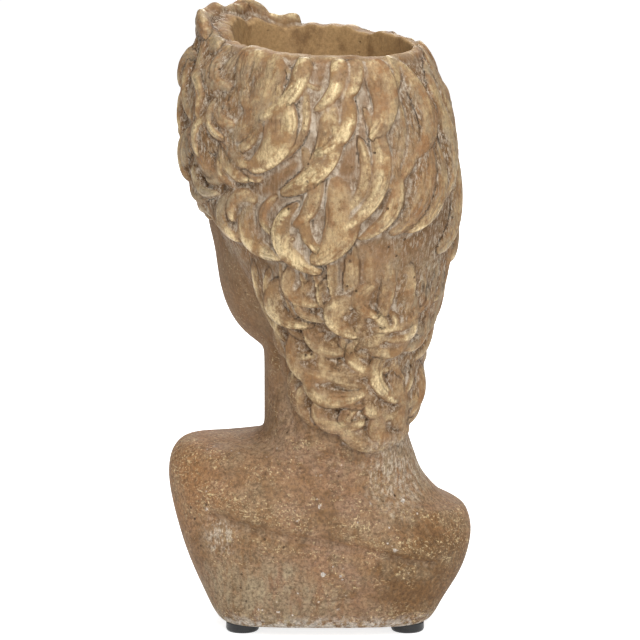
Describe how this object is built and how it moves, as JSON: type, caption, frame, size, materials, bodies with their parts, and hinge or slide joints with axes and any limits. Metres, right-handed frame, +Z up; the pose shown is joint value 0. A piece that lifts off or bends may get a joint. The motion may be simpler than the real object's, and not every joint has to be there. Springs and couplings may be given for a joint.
{
  "type": "head planter",
  "caption": "Cement bust of a curly-haired youth with the head left open as a planting pot, standing on round rubber pads.",
  "frame": {"origin": "centre of the object's footprint on the floor, at the foot of the rubber pads", "axes": "+Z up, the chest faces -Y, the head is turned towards +X"},
  "size_m": [0.1472, 0.1359, 0.2958],
  "materials": {
    "stained_cement": "brown stained cement with gold dry brushing and a grey-white wash",
    "pad_rubber": "smooth black rubber",
    "adhesive": "double-sided foam adhesive"
  },
  "bodies": {
    "root": {"bust_casting": "stained_cement", "pad_rear_left": "pad_rubber", "pad_rear_right": "pad_rubber", "pad_front_left": "pad_rubber", "pad_front_right": "pad_rubber", "adhesive_discs": "adhesive"}
  },
  "joints": []
}
